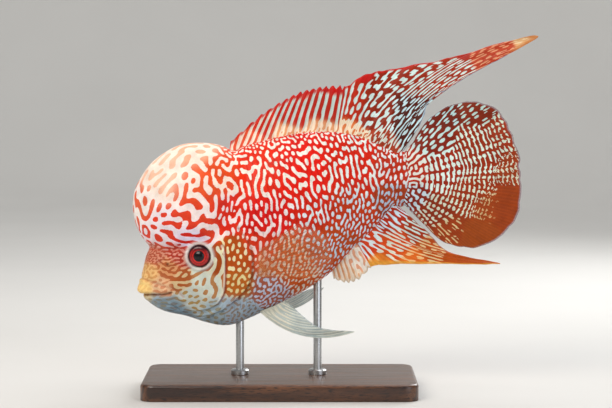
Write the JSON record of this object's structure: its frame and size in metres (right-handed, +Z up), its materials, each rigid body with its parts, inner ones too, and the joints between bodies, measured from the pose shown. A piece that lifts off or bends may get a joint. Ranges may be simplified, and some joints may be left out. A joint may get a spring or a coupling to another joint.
{
  "type": "flowerhorn cichlid display model",
  "caption": "Life-size still model of a flowerhorn cichlid with a high forehead hump and flowing fins, held nose down on a plain base by short rods.",
  "frame": {"origin": "middle of the underside of the stand's base", "axes": "+Z up, -X towards the fish's snout, -Y towards the fish's left side"},
  "size_m": [0.2888, 0.104, 0.2564],
  "materials": {
    "head_skin": "wet fish skin, pale with orange-brown worm marks",
    "hump_skin": "taut wet skin, cream with orange-red worm marks",
    "body_skin": "wet scales, scarlet with white streaks",
    "lips": "smooth tan skin",
    "fin": "rayed fin, red with pale bars and pearls",
    "clear_fin": "rayed fin, pale blue-green and half clear",
    "eye": "glossy, red iris round a black pupil",
    "stained_wood": "dark stained, satin varnish",
    "brushed_steel": "satin drawn bar"
  },
  "bodies": {
    "root": {"head": "head_skin", "hump": "hump_skin", "upper_jaw": "lips", "lower_jaw": "lips", "gill_cover_left": "head_skin", "gill_cover_right": "head_skin", "eye_left": "eye", "eye_right": "eye", "trunk": "body_skin", "tail_stalk": "body_skin", "dorsal_fin_spiny": "fin", "dorsal_fin_soft": "fin", "tail_fin": "fin", "anal_fin_spiny": "fin", "anal_fin_soft": "fin", "pectoral_fin_left": "fin", "pectoral_fin_right": "fin", "pelvic_fin_left": "clear_fin", "pelvic_fin_right": "clear_fin", "stand_base": "stained_wood", "stand_rod_front": "brushed_steel", "stand_rod_rear": "brushed_steel", "stand_collar_front": "brushed_steel", "stand_collar_rear": "brushed_steel"}
  },
  "joints": []
}
